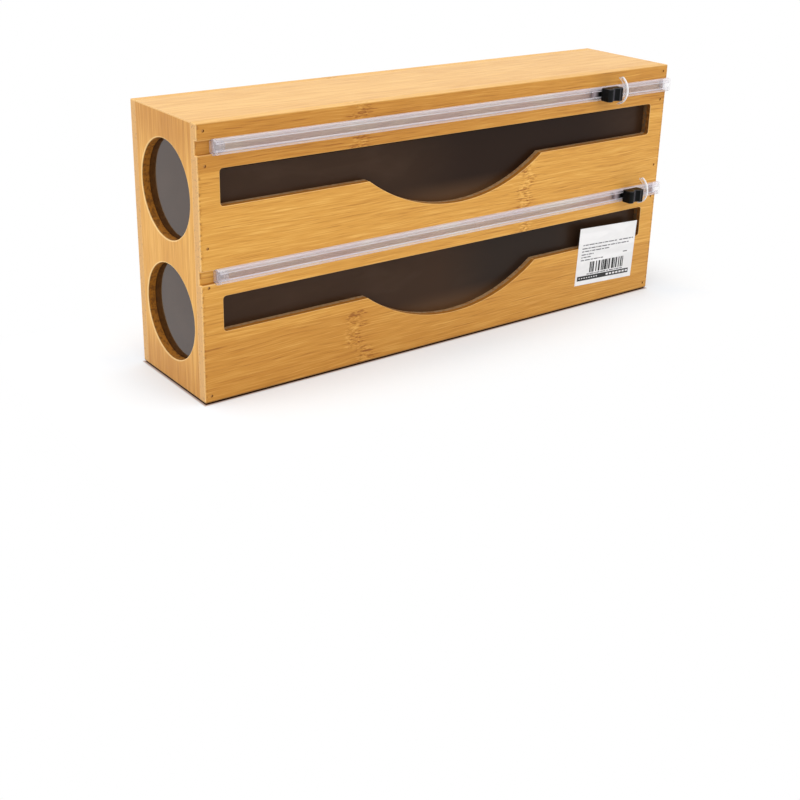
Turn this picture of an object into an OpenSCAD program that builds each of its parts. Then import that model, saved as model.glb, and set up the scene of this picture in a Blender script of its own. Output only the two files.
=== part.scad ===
// Two-bay wrap dispenser: a bamboo case for two rolls, with a slide cutter above each window.
// The origin is the middle of the underside, +X runs along the case, -Y is the front and +Z is up.

/* [Case] */
// Length of the case
case_w = 350; // [330:1:420]
// Height of the case
case_h = 156; // [150:1:190]
// Depth of the case, from front face to back face
case_d = 75; // [72:1:100]
// Thickness of the mitred top, bottom and end boards
frame_t = 9; // [7:0.5:12]
// Thickness of the front and back panels
face_t = 6; // [5:0.5:8]
// Thickness of the shelf between the two bays
shelf_t = 3; // [3:0.5:9]
// Depth of the housing that holds the shelf in each end board
shelf_housing = 3; // [1:0.5:5]
// Least wood left beside the round hole at each end of a bay
end_rim = 3.5; // [2.5:0.5:10]

/* [Windows] */
// Wood left between a window and the end of the case
window_margin = 13; // [12:0.5:30]
// Height of the straight part of a window
window_h = 20.5; // [12:0.5:23]
// Distance of the window sill below the middle of its bay
window_sill = 2.5; // [0:0.5:6]
// Corner radius of a window
window_r = 2; // [1:0.5:5]
// Length of the finger dip along the sill
dip_w = 132; // [80:1:200]
// Depth of the finger dip below the sill
dip_h = 22; // [10:0.5:26]

/* [Panes] */
// Thickness of a smoked pane
pane_t = 2; // [1:0.5:3]
// Gap left around a pane
pane_gap = 0.3; // [0.1:0.1:1]
// Depth of an end pane's seat below the left end of the case
pane_inset = 6; // [2:0.1:7]
// Width of the ledge that an end pane sits on
pane_ledge = 1; // [0.5:0.1:2]
// Height of the slit above a front pane that the wrap leaves by
film_slit = 2; // [1:0.5:4]

/* [Rail] */
// Height of the groove that holds a rail
groove_h = 7.5; // [7:0.1:9]
// Depth of the groove
groove_depth = 2.5; // [2:0.1:3.5]
// Distance of the groove above the middle of its bay
groove_rise = 29.8; // [29:0.1:32]
// Height of the rail in front of the panel
rail_h = 8.6; // [8:0.1:12]
// How far the rail stands out from the panel
rail_proud = 2.8; // [2.4:0.1:4]
// Radius along the rail's front edges
rail_r = 1.2; // [0.4:0.1:1.4]
// Height of the channel inside the rail
channel_h = 5.6; // [5:0.1:6.6]
// Depth of the channel inside the rail
channel_depth = 2.7; // [2.2:0.1:3.2]
// Thickness of the two lips that keep the runner in
lip_t = 1; // [0.6:0.1:1.4]
// Height of the slot between the lips
slot_h = 3.4; // [2.6:0.1:4.4]
// Clearance between the rail and its groove
rail_fit = 0.2; // [0.1:0.05:0.3]
// Bare groove between the left end of the case and the rail
rail_inset = 8.5; // [2:0.5:20]
// How far the rail's right end stands past the case
rail_overhang = 1; // [0:0.5:4]
// Thickness of the adhesive tape behind the rail
tape_t = 0.4; // [0.2:0.1:0.8]
// Height of the adhesive tape
tape_h = 6; // [3:0.5:7]

/* [Rail end caps] */
// Thickness of an end cap's plate
cap_t = 1.8; // [1:0.1:3]
// Length of an end cap's plug
cap_plug = 5; // [3:0.5:8]
// Clearance between the plug and the channel
cap_fit = 0.15; // [0.05:0.05:0.3]

/* [Slider] */
// Length of the knob along the rail
knob_w = 13; // [12:0.5:24]
// Height of the knob
knob_h = 8.4; // [6:0.1:12]
// How far the knob stands out from the rail
knob_depth = 7.4; // [5:0.1:12]
// Radius of the knob's upright front edges
knob_r = 2; // [0.5:0.1:3]
// Length of the finger dish in the knob
dish_w = 6; // [4:0.5:9]
// Depth of the finger dish
dish_depth = 2; // [0.5:0.1:2.5]
// Length of the runner inside the rail
runner_w = 24; // [16:0.5:40]
// Length of the knob's stem through the slot
stem_w = 8; // [5:0.5:10]
// Clearance between the stem and the runner
stem_fit = 0.1; // [0.05:0.05:0.2]
// Running gap between the slider and the rail
run_gap = 0.3; // [0.2:0.05:0.5]
// Length of the blade at its cutting edge
blade_w = 12; // [11:0.5:15]
// Length ground off each end of the blade
blade_grind = 2; // [0.5:0.5:2.5]
// Thickness of the blade
blade_t = 0.4; // [0.2:0.1:0.8]
// Clearance of the blade in the stem
blade_fit = 0.05; // [0.02:0.01:0.1]
// Distance of the parked upper knob from the right end of the case
upper_park = 57; // [30:0.5:150]
// Distance of the parked lower knob from the right end of the case
lower_park = 29; // [26:0.5:150]

/* [Slider stop] */
// Gap between the parked knob and the stop
stop_gap = 5; // [1:0.5:8]
// Width of the stop along the rail
stop_w = 4; // [2:0.5:8]
// Height of the stop where it meets the panel
stop_span = 16; // [14:0.5:20]
// How far the stop bows out from the panel
stop_bow = 5; // [4.6:0.1:7]
// Thickness of the stop
stop_t = 0.8; // [0.5:0.1:1.2]

/* [Keyholes] */
// Distance between the two keyholes
keyhole_pitch = 246; // [100:1:300]
// Height of the round part of a keyhole
keyhole_z = 44.5; // [30:0.5:60]
// Diameter of the round part
keyhole_d = 10; // [8:0.5:12]
// Width of the slot
keyhole_slot = 5.5; // [4:0.5:7]
// Distance from the round part to the slot's end
keyhole_run = 13; // [8:0.5:18]

/* [Brads] */
// Diameter of a brad
brad_d = 1; // [0.8:0.1:1.6]
// Length of a brad
brad_l = 14; // [12:0.5:16]
// Diameter of a brad's head
brad_head_d = 1.5; // [1.2:0.1:2.4]
// Thickness of a brad's head
brad_head_t = 0.8; // [0.4:0.1:1.2]
// How deep the head is set below the surface
brad_sink = 0.5; // [0.2:0.1:1]
// Clearance around a brad
brad_fit = 0.05; // [0.02:0.01:0.1]
// Distance of a corner brad from the edges of the case
brad_edge = 4; // [3:0.5:5]
// Distance of a brad from the middle of the shelf
brad_shelf = 11; // [9:0.5:20]
// Distance of the upper brad from the top of the case
brad_upper = 22.5; // [18:0.5:30]

/* [Label] */
// Width of the paper label
label_w = 53.5; // [30:0.5:80]
// Height of the label
label_h = 39.8; // [20:0.1:50]
// Thickness of the label
label_t = 0.2; // [0.1:0.05:0.4]
// Distance of the label's middle from the right end of the case
label_inset = 43.5; // [35:0.5:120]
// Height of the label's middle
label_z = 33; // [26:0.5:60]
// Turn of the label, clockwise as seen from the front
label_tilt = 2.5; // [0:0.5:10]

/* [Hidden] */
$fn = 96;
// Overlap that carries a cut clear of a face
over = 1;
left_x = -case_w / 2;
right_x = case_w / 2;
front_y = -case_d / 2;
back_y = case_d / 2;
inner_w = case_w - 2 * frame_t;
inner_d = case_d - 2 * face_t;
inner_front_y = front_y + face_t;
inner_back_y = back_y - face_t;
bay_h = (case_h - 2 * frame_t - shelf_t) / 2;
lower_bay_z = frame_t + bay_h / 2;
upper_bay_z = case_h - frame_t - bay_h / 2;
shelf_z = frame_t + bay_h + shelf_t / 2;
end_hole_d = min(inner_d, bay_h) - 2 * end_rim;
end_seat_d = end_hole_d + 2 * pane_ledge;
dip_r = (dip_w * dip_w / 4 + dip_h * dip_h) / (2 * dip_h);
rail_back = groove_depth - tape_t;
rail_left_x = left_x + rail_inset + cap_t;
rail_right_x = right_x + rail_overhang - cap_t;
channel_front = rail_proud - lip_t;
knob_back = rail_proud + run_gap;
runner_front = channel_front - run_gap;
runner_t = channel_depth - 2 * run_gap;
dish_r = (dish_w * dish_w / 4 + dish_depth * dish_depth) / (2 * dish_depth);
upper_knob_x = right_x - upper_park;
lower_knob_x = right_x - lower_park;
stop_r = (stop_span * stop_span / 4 + stop_bow * stop_bow) / (2 * stop_bow);
brad_rows = [
    brad_edge,
    shelf_z - brad_shelf,
    shelf_z + brad_shelf,
    case_h - brad_upper,
    case_h - brad_edge
];
bamboo = [0.87, 0.67, 0.37];
smoke = [0.24, 0.18, 0.15, 0.85];
clear = [0.86, 0.84, 0.9, 0.5];
black = [0.08, 0.085, 0.085];
steel = [0.7, 0.7, 0.72];
paper = [0.94, 0.94, 0.93];
adhesive = [0.9, 0.89, 0.86];

// Sweeps an outline drawn in x and z through the depth of the case
module through_depth(from_y, to_y) {
    translate([0, to_y, 0])
        rotate([90, 0, 0])
            linear_extrude(to_y - from_y)
                children();
}

// Sweeps a section drawn in y and z along the case, with y counted inwards from the front face
module along_case(from_x, to_x, z) {
    translate([from_x, front_y, z])
        rotate([90, 0, 90])
            linear_extrude(to_x - from_x)
                children();
}

// A rectangle with round corners, from its lower left corner
module round_rectangle(w, h, r) {
    translate([r, 0])
        square([w - 2 * r, h]);
    translate([0, r])
        square([w, h - 2 * r]);
    for (x = [r, w - r], y = [r, h - r])
        translate([x, y])
            circle(r);
}

// One frame board between the front and back panels
module frame_board(points) {
    through_depth(inner_front_y, inner_back_y)
        polygon(points);
}

// Every brad of one panel, as pairs of x and z
function end_brads() = [
    for (side = [-1, 1], z = brad_rows)
        [side * (case_w / 2 - (z == brad_edge || z == case_h - brad_edge ? brad_edge : frame_t / 2)), z]
];
function edge_brads() = [for (z = [brad_edge, case_h - brad_edge]) [0, z]];

// One brad along +Y, its head set below the panel's face at y = 0, grown by a clearance for its hole
module brad(grow, mouth) {
    rotate([-90, 0, 0]) {
        translate([0, 0, brad_sink - mouth])
            cylinder(d = brad_head_d + 2 * grow, h = brad_head_t + mouth, $fn = 32);
        translate([0, 0, brad_sink + brad_head_t])
            cylinder(d = brad_d + 2 * grow, h = brad_l - brad_head_t + grow, $fn = 32);
    }
}

module front_brad_set(grow = 0, mouth = 0) {
    for (p = end_brads())
        translate([p.x, front_y, p.y])
            brad(grow, mouth);
}

module back_brad_set(grow = 0, mouth = 0) {
    for (p = concat(end_brads(), edge_brads()))
        translate([p.x, back_y, p.y])
            mirror([0, 1, 0])
                brad(grow, mouth);
}

module brad_holes() {
    front_brad_set(brad_fit, brad_sink + over);
    back_brad_set(brad_fit, brad_sink + over);
}

// Case

module top_board() {
    color(bamboo)
        difference() {
            frame_board([
                [left_x, case_h],
                [right_x, case_h],
                [right_x - frame_t, case_h - frame_t],
                [left_x + frame_t, case_h - frame_t]
            ]);
            brad_holes();
        }
}

module bottom_board() {
    color(bamboo)
        difference() {
            frame_board([
                [left_x, 0],
                [left_x + frame_t, frame_t],
                [right_x - frame_t, frame_t],
                [right_x, 0]
            ]);
            brad_holes();
        }
}

// An end board as it stands at the left, with or without seats for panes behind its round holes
module end_board(seats) {
    color(bamboo)
        difference() {
            frame_board([
                [left_x, 0],
                [left_x, case_h],
                [left_x + frame_t, case_h - frame_t],
                [left_x + frame_t, frame_t]
            ]);
            for (z = [lower_bay_z, upper_bay_z])
                translate([left_x, 0, z])
                    rotate([0, 90, 0]) {
                        translate([0, 0, -over])
                            cylinder(d = end_hole_d, h = frame_t + 2 * over);
                        if (seats)
                            translate([0, 0, pane_inset])
                                cylinder(d = end_seat_d, h = frame_t - pane_inset + over);
                    }
            translate([-inner_w / 2 - shelf_housing, inner_front_y - over, shelf_z - shelf_t / 2])
                cube([shelf_housing + over, inner_d + 2 * over, shelf_t]);
            brad_holes();
        }
}

module left_end_board() {
    end_board(true);
}

module right_end_board() {
    mirror([1, 0, 0])
        end_board(false);
}

module shelf() {
    color(bamboo)
        translate([-inner_w / 2 - shelf_housing, inner_front_y, shelf_z - shelf_t / 2])
            cube([inner_w + 2 * shelf_housing, inner_d, shelf_t]);
}

// A long window with a dished sill in the middle, where fingers reach the end of the wrap
module window_outline() {
    window_w = case_w - 2 * window_margin;
    translate([-window_w / 2, -window_sill])
        round_rectangle(window_w, window_h, window_r);
    intersection() {
        translate([0, dip_r - window_sill - dip_h])
            circle(dip_r, $fn = 240);
        translate([-dip_w / 2, -window_sill - dip_h])
            square([dip_w, dip_h + window_h / 2]);
    }
}

module front_panel() {
    color(bamboo)
        difference() {
            translate([left_x, front_y, 0])
                cube([case_w, face_t, case_h]);
            for (z = [lower_bay_z, upper_bay_z]) {
                translate([0, 0, z])
                    through_depth(front_y - over, inner_front_y + over)
                        window_outline();
                translate([left_x - over, front_y - over, z + groove_rise - groove_h / 2])
                    cube([case_w + 2 * over, groove_depth + over, groove_h]);
            }
            brad_holes();
        }
}

// A round hole for a screw's head, with a slot for its shank that ends below it
module keyhole_outline() {
    circle(d = keyhole_d);
    translate([-keyhole_slot / 2, -keyhole_run])
        square([keyhole_slot, keyhole_run]);
    translate([0, -keyhole_run])
        circle(d = keyhole_slot);
}

module back_panel() {
    color(bamboo)
        difference() {
            translate([left_x, inner_back_y, 0])
                cube([case_w, face_t, case_h]);
            for (side = [-1, 1])
                translate([side * keyhole_pitch / 2, 0, keyhole_z])
                    through_depth(inner_back_y - over, back_y + over)
                        keyhole_outline();
            brad_holes();
        }
}

// Panes

// A pane that stands on the floor of its bay, against the front panel
module front_pane(bay_z) {
    color(smoke)
        translate([-inner_w / 2 + pane_gap, inner_front_y, bay_z - bay_h / 2])
            cube([inner_w - 2 * pane_gap, pane_t, bay_h / 2 - window_sill + window_h - film_slit]);
}

// A round pane in its seat in the left end board
module end_pane(bay_z) {
    color(smoke)
        translate([left_x + pane_inset, 0, bay_z])
            rotate([0, 90, 0])
                cylinder(d = end_seat_d - 2 * pane_gap, h = pane_t);
}

// Rails

// The rail's outer section: a foot in the groove and a wider head with round front edges
module rail_outline() {
    foot_h = groove_h - 2 * rail_fit;
    translate([-over / 2, -foot_h / 2])
        square([rail_back + over / 2, foot_h]);
    translate([rail_r - rail_proud, -rail_h / 2])
        square([rail_proud - rail_r, rail_h]);
    translate([-rail_proud, rail_r - rail_h / 2])
        square([2 * rail_r, rail_h - 2 * rail_r]);
    for (side = [-1, 1])
        translate([rail_r - rail_proud, side * (rail_h / 2 - rail_r)])
            circle(rail_r);
}

// The hollow of the rail, drawn in by a clearance: a channel for the runner and a slot for the knob's stem
module channel_outline(gap, mouth) {
    translate([gap - channel_front, gap - channel_h / 2])
        square([channel_depth - 2 * gap, channel_h - 2 * gap]);
    translate([-rail_proud - mouth, gap - slot_h / 2])
        square([lip_t + mouth + 2 * gap, slot_h - 2 * gap]);
}

module rail(bay_z) {
    color(clear)
        along_case(rail_left_x, rail_right_x, bay_z + groove_rise)
            difference() {
                rail_outline();
                channel_outline(0, over);
            }
}

// An end cap: a plate with the rail's outline and a plug that fills the channel
module rail_cap(plate_x, plug_x, bay_z) {
    color(clear) {
        along_case(plate_x, plate_x + cap_t, bay_z + groove_rise)
            rail_outline();
        along_case(plug_x, plug_x + cap_plug, bay_z + groove_rise)
            channel_outline(cap_fit, 0);
    }
}

module left_cap(bay_z) {
    rail_cap(rail_left_x - cap_t, rail_left_x, bay_z);
}

module right_cap(bay_z) {
    rail_cap(rail_right_x, rail_right_x - cap_plug, bay_z);
}

module rail_tape(bay_z) {
    color(adhesive)
        translate([rail_left_x, front_y + rail_back, bay_z + groove_rise - tape_h / 2])
            cube([rail_right_x - rail_left_x, tape_t, tape_h]);
}

// Sliders

// The plan of the knob: two upright lobes with a finger dish between them, its back at y = 0
module knob_plan() {
    difference() {
        union() {
            translate([-knob_w / 2, -knob_depth])
                round_rectangle(knob_w, knob_depth, knob_r);
            translate([-knob_w / 2, -knob_r])
                square([knob_w, knob_r]);
        }
        translate([0, -knob_depth - dish_r + dish_depth])
            circle(dish_r);
    }
}

module knob(x, bay_z) {
    stem_h = slot_h - 2 * run_gap;
    stem_l = knob_back - runner_front + runner_t;
    color(black)
        translate([x, front_y - knob_back, bay_z + groove_rise])
            difference() {
                union() {
                    translate([0, 0, -knob_h / 2])
                        linear_extrude(knob_h)
                            knob_plan();
                    translate([-stem_w / 2, -over / 2, -stem_h / 2])
                        cube([stem_w, stem_l + over / 2, stem_h]);
                }
                translate([-stem_w, 0, -blade_t / 2 - blade_fit])
                    cube([2 * stem_w, knob_back - runner_front, blade_t + 2 * blade_fit]);
            }
}

module runner(x, bay_z) {
    runner_h = channel_h - 2 * run_gap;
    hole_w = stem_w + 2 * stem_fit;
    hole_h = slot_h - 2 * run_gap + 2 * stem_fit;
    color(black)
        translate([x, front_y - runner_front, bay_z + groove_rise])
            difference() {
                translate([-runner_w / 2, 0, -runner_h / 2])
                    cube([runner_w, runner_t, runner_h]);
                translate([-hole_w / 2, -over, -hole_h / 2])
                    cube([hole_w, runner_t + 2 * over, hole_h]);
            }
}

// The blade lies across the slot, in the stem, with its ends ground to a point towards the knob
module blade(x, bay_z) {
    color(steel)
        translate([x, front_y, bay_z + groove_rise - blade_t / 2])
            linear_extrude(blade_t)
                polygon([
                    [-blade_w / 2, -knob_back],
                    [blade_w / 2, -knob_back],
                    [blade_w / 2 - blade_grind, -runner_front],
                    [blade_grind - blade_w / 2, -runner_front]
                ]);
}

// A bowed strap over the rail, with both ends on the front panel
module slider_stop(knob_x, bay_z) {
    from_x = knob_x + knob_w / 2 + stop_gap;
    color(clear)
        along_case(from_x, from_x + stop_w, bay_z + groove_rise)
            intersection() {
                difference() {
                    translate([stop_r - stop_bow, 0])
                        circle(stop_r + stop_t);
                    translate([stop_r - stop_bow, 0])
                        circle(stop_r);
                }
                translate([-2 * stop_bow, -stop_span])
                    square([2 * stop_bow, 2 * stop_span]);
            }
}

module front_brads() {
    color(steel)
        front_brad_set();
}

module back_brads() {
    color(steel)
        back_brad_set();
}

module paper_label() {
    color(paper)
        translate([right_x - label_inset, front_y - label_t, label_z])
            rotate([0, label_tilt, 0])
                translate([-label_w / 2, 0, -label_h / 2])
                    cube([label_w, label_t, label_h]);
}

top_board();
bottom_board();
left_end_board();
right_end_board();
shelf();
front_panel();
back_panel();
front_pane(upper_bay_z);  // upper_front_pane
front_pane(lower_bay_z);  // lower_front_pane
end_pane(upper_bay_z);  // upper_end_pane
end_pane(lower_bay_z);  // lower_end_pane
rail(upper_bay_z);  // upper_rail
rail(lower_bay_z);  // lower_rail
left_cap(upper_bay_z);  // upper_rail_left_cap
right_cap(upper_bay_z);  // upper_rail_right_cap
left_cap(lower_bay_z);  // lower_rail_left_cap
right_cap(lower_bay_z);  // lower_rail_right_cap
rail_tape(upper_bay_z);  // upper_rail_tape
rail_tape(lower_bay_z);  // lower_rail_tape
knob(upper_knob_x, upper_bay_z);  // upper_knob
knob(lower_knob_x, lower_bay_z);  // lower_knob
runner(upper_knob_x, upper_bay_z);  // upper_runner
runner(lower_knob_x, lower_bay_z);  // lower_runner
blade(upper_knob_x, upper_bay_z);  // upper_blade
blade(lower_knob_x, lower_bay_z);  // lower_blade
slider_stop(upper_knob_x, upper_bay_z);  // upper_slider_stop
slider_stop(lower_knob_x, lower_bay_z);  // lower_slider_stop
front_brads();
back_brads();
paper_label();
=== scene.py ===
"""Looks of a two-bay wrap dispenser: bamboo case, smoked panes, clear cutter rails and black sliders."""

import math
from collections import namedtuple
from functools import partial

import bmesh
import bpy
from bpy.props import FloatProperty, FloatVectorProperty, PointerProperty
from mathutils import Matrix, Vector


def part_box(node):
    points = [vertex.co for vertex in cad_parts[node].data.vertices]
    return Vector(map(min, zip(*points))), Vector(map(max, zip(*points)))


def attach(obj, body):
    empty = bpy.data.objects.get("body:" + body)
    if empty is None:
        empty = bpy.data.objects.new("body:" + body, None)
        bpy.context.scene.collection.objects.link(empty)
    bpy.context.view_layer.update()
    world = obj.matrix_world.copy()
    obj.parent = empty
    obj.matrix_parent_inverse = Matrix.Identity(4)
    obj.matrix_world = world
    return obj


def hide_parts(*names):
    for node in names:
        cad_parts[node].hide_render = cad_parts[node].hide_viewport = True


bl_info = {
    "name": "Wrap Dispenser",
    "version": (1, 0, 0),
    "blender": (4, 5, 0),
    "location": "View3D > Sidebar > Dispenser",
    "description": "Dresses a bamboo wrap dispenser with two slide cutters",
    "category": "Add Mesh",
}

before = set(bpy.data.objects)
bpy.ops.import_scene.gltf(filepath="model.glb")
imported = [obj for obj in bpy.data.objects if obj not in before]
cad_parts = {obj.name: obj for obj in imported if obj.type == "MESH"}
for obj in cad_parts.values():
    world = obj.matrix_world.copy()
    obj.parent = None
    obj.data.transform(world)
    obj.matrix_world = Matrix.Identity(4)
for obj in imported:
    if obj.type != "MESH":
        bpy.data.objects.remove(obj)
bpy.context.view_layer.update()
FRONT_LOW, FRONT_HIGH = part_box("front_panel")
BACK_LOW, BACK_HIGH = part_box("back_panel")
CASE_HEIGHT = FRONT_HIGH.z
LEVELS = ("upper", "lower")
MM = 0.001
# Distance under which two corners of a solid's triangles are one
WELD = 1e-6
FLAT_ANGLE = math.radians(0.4)
SHARP_ANGLE = math.radians(32)
# Faces that meet at less than this angle share a normal
BLEND_COSINE = math.cos(math.radians(40))
# A face counts as square to an axis from this part of its normal on
SQUARE = 0.9
# Rims smaller than this are nail holes, and stay sharp
SMALL_RIM = 4 * MM
ACRYLIC_IOR = 1.49


def a_colour(label, text, *steps):
    """The colour of something, given as it looks on a screen, in steps of 255."""
    shares = [step / 255 for step in steps]
    linear = [s / 12.92 if s <= 0.04045 else ((s + 0.055) / 1.055) ** 2.4 for s in shares]
    kind = {"subtype": "COLOR", "size": 3, "min": 0, "max": 1}
    return FloatVectorProperty(name=label, description="Colour of " + text, default=linear, **kind)


def a_number(label, text, value, **kind):
    """A number that the user can change."""
    return FloatProperty(name=label, description=text, default=value, **kind)


def a_length(label, text, millimetres):
    """A length that the user can change."""
    kind = {"subtype": "DISTANCE", "unit": "LENGTH", "min": 0, "precision": 5}
    return a_number(label, text, millimetres * MM, **kind)


def a_place(label, text, place):
    """A place that the user can change."""
    return FloatVectorProperty(name=label, description=text, subtype="XYZ", unit="LENGTH", default=place)


class DispenserBamboo(bpy.types.PropertyGroup):
    """Colours and edges of the boards."""

    pale: a_colour("Pale", "the pale fibres", 234, 183, 97)
    middle: a_colour("Middle", "the ground between the fibres", 212, 153, 66)
    dark: a_colour("Dark", "the dark fibres and knuckles", 158, 97, 34)
    end_pale: a_colour("End pale", "the ground on cut ends", 210, 163, 104)
    end_dark: a_colour("End dark", "the fibre dots on cut ends", 170, 132, 94)
    # The arris colour is partly sanded wear and partly a painted highlight along the rounded edges
    arris: a_colour("Arris", "the sanded edges", 252, 214, 148)
    wall: a_colour("Wall", "the routed walls of windows and holes", 174, 110, 30)
    ply: a_colour("Ply", "the front panel's inner ply on those walls", 174, 140, 100)
    # Dark brown for painted shade on the walls across the grain and on the foot, and for the freckles on the
    # walls of the other boards
    dark_brown: a_colour("Dark brown", "shaded walls, freckles in holes and the foot", 98, 58, 16)
    ease: a_length("Ease", "Rounding of the sanded outer edges", 0.6)
    rim_ease: a_length("Rim ease", "Rounding of the rims of windows and grooves", 0.3)
    foot_ease: a_length("Foot ease", "Rounding of the edges along the underside", 0.9)
    seam_ease: a_length("Seam ease", "Rounding of the edges where boards meet", 0.12)


class DispenserPlastic(bpy.types.PropertyGroup):
    """Colours and edges of the plastic and steel pieces."""

    smoke: a_colour("Smoke", "the front panes", 66, 45, 29)
    end_smoke: a_colour("End smoke", "the end panes", 60, 36, 16)
    amber: a_colour("Amber", "the panes where their dip catches light", 100, 71, 45)
    shadow: a_colour("Shadow", "the lower pane where its bay is darkest", 48, 36, 28)
    upper_shadow: a_colour("Upper shadow", "the upper pane where its bay is darkest", 43, 25, 13)
    clear: a_colour("Clear", "the clear rails and caps", 248, 241, 251)
    # Painted highlight along the rails' edges
    rim: a_colour("Rim", "the rails' edges", 244, 240, 246)
    strap_rim: a_colour("Strap rim", "the clear stops", 253, 252, 253)
    # Painted shade along the caps' edges, where clear plastic looks dark
    cap_rim: a_colour("Cap rim", "the end caps' edges", 176, 168, 176)
    black: a_colour("Black", "the knobs", 6, 7, 7)
    # The knobs' paler edges are a painted highlight
    black_rim: a_colour("Black rim", "the edges of the knobs", 40, 39, 42)
    glint: a_colour("Glint", "the light on the knobs' dish", 70, 67, 73)
    runner: a_colour("Runner", "the runners' thin ends inside the rails", 150, 138, 142)
    steel: a_colour("Steel", "the blades", 190, 190, 194)
    nail: a_colour("Nail", "the brads", 184, 130, 68)
    tape: a_colour("Tape", "the adhesive tape", 252, 214, 186)
    pane_rebate: a_length("Pane rebate", "Width of the rebate round the end panes", 0.95)
    pane_rise: a_length("Pane rise", "How far the end panes' middle stands out into the holes", 1.5)
    knob_ease: a_length("Knob ease", "Rounding of the knobs' edges", 0.5)
    rail_ease: a_length("Rail ease", "Rounding of the rails' edges", 0.25)


class DispenserLabel(bpy.types.PropertyGroup):
    """Paper label."""

    paper: a_colour("Paper", "the paper", 227, 226, 226)
    ink: a_colour("Ink", "the bars and the band", 10, 10, 11)
    grey: a_colour("Grey", "the thin rules", 92, 92, 96)
    curl: a_length("Curl", "How far the free upper edge leans out", 0.5)


class DispenserStage(bpy.types.PropertyGroup):
    """Camera, floor and light."""

    lens: a_number("Lens", "Focal length in millimetres", 57.08)
    place: a_place("Place", "Where the camera stands", (-0.4741, -0.6049, 0.2987))
    target: a_place("Target", "Where the camera looks", (-0.0133, 0, -0.0039))
    roll: a_number("Roll", "Turn of the camera", math.radians(1.44), subtype="ANGLE")
    rise: a_number("Rise", "Vertical shift of the lens", -0.0875)
    floor: a_colour("Floor", "the floor", 250, 251, 252)
    # Near the case the floor is painted: a cool tint against the warm light bounced from the wood, a penumbra
    # beside the case and a contact shadow under it
    near_floor: a_colour("Near floor", "the floor close to the case", 241, 247, 253)
    penumbra: a_colour("Penumbra", "the floor right beside the case", 196, 168, 152)
    contact_shadow: a_colour("Contact", "the floor under the case", 70, 38, 20)
    gap: a_length("Gap", "Dark gap between the floor and the case", 0.8)
    ambient: a_number("Ambient", "Strength of the light from all round", 0.8)
    overhead: a_number("Overhead", "Watts of the overhead softbox", 9, subtype="POWER")
    side: a_number("Side", "Watts of the left softbox", 6, subtype="POWER")
    fill: a_number("Fill", "Watts of the front softbox", 4, subtype="POWER")


# Node helpers


def feed(tree, socket, value):
    """Links a socket to another, or sets its value."""
    if isinstance(value, bpy.types.NodeSocket):
        tree.links.new(value, socket)
    elif isinstance(value, (list, tuple)) and socket.type == "RGBA":
        socket.default_value = (*value[:3], 1)
    else:
        socket.default_value = value


def add(tree, kind, values=None, **settings):
    """Adds a node, with its settings and its inputs by name or number."""
    node = tree.nodes.new(kind)
    for key, value in settings.items():
        setattr(node, key, value)
    for key, value in (values or {}).items():
        feed(tree, node.inputs[key], value)
    return node


def calc(operation, tree, a, b=0.0, c=0.0):
    """A Math node's result."""
    return add(tree, "ShaderNodeMath", {0: a, 1: b, 2: c}, operation=operation).outputs[0]


plus = partial(calc, "ADD")
less = partial(calc, "SUBTRACT")
times = partial(calc, "MULTIPLY")
# The first value times the second, plus the third
lift = partial(calc, "MULTIPLY_ADD")
absolute = partial(calc, "ABSOLUTE")
least = partial(calc, "MINIMUM")
most = partial(calc, "MAXIMUM")


def vector_calc(tree, operation, a, b):
    """A Vector Math node's result."""
    return add(tree, "ShaderNodeVectorMath", {0: a, 1: b}, operation=operation).outputs[0]


def split_vector(tree, vector):
    """A vector's x, y and z."""
    return add(tree, "ShaderNodeSeparateXYZ", {0: vector}).outputs


def join_vector(tree, x=0.0, y=0.0, z=0.0):
    """A vector of x, y and z."""
    return add(tree, "ShaderNodeCombineXYZ", {0: x, 1: y, 2: z}).outputs[0]


def ramp(tree, value, low, high, to_low=0.0, to_high=1.0):
    """A value taken smoothly from one span to another."""
    values = {"Value": value, "From Min": low, "From Max": high, "To Min": to_low, "To Max": to_high}
    return add(tree, "ShaderNodeMapRange", values, interpolation_type="SMOOTHSTEP").outputs["Result"]


def mix(tree, share, a, b, mode="MIX"):
    """Two colours mixed by a share."""
    values = {0: share, 6: a, 7: b}
    return add(tree, "ShaderNodeMix", values, data_type="RGBA", blend_type=mode).outputs[2]


def noise(tree, vector, stretch, detail=2.0, rough=0.5, warp=0.0):
    """Noise on a vector that is stretched first, in cycles per metre."""
    scaled = vector_calc(tree, "MULTIPLY", vector, stretch)
    values = {"Vector": scaled, "Scale": 1.0, "Detail": detail, "Roughness": rough, "Distortion": warp}
    return add(tree, "ShaderNodeTexNoise", values).outputs["Fac"]


def bump(tree, height, strength, distance):
    """A normal from a height."""
    values = {"Strength": strength, "Distance": distance, "Height": height}
    return add(tree, "ShaderNodeBump", values).outputs["Normal"]


def new_tree(name, kind, inputs, outputs):
    """An empty node group with sockets by kind: its tree, its inputs' identifiers, and the sockets inside."""
    tree = bpy.data.node_groups.new(name, kind)
    names = {}
    for way, table in (("INPUT", inputs), ("OUTPUT", outputs)):
        for sort, labels in table.items():
            for label in labels:
                socket = tree.interface.new_socket(name=label, in_out=way, socket_type="NodeSocket" + sort)
                names.setdefault(label, socket.identifier)
    entry = tree.nodes.new("NodeGroupInput")
    leave = tree.nodes.new("NodeGroupOutput")
    return tree, names, entry.outputs, leave.inputs


# How far a strip's pattern slides across the grain, for each step along it
SIDE_SHIFT = 0.37
# Tint of bamboo where a strip's shade is 0
DEEP_TINT = (0.72, 0.6, 0.42)
FRECKLE_SHARE = 0.65


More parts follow.
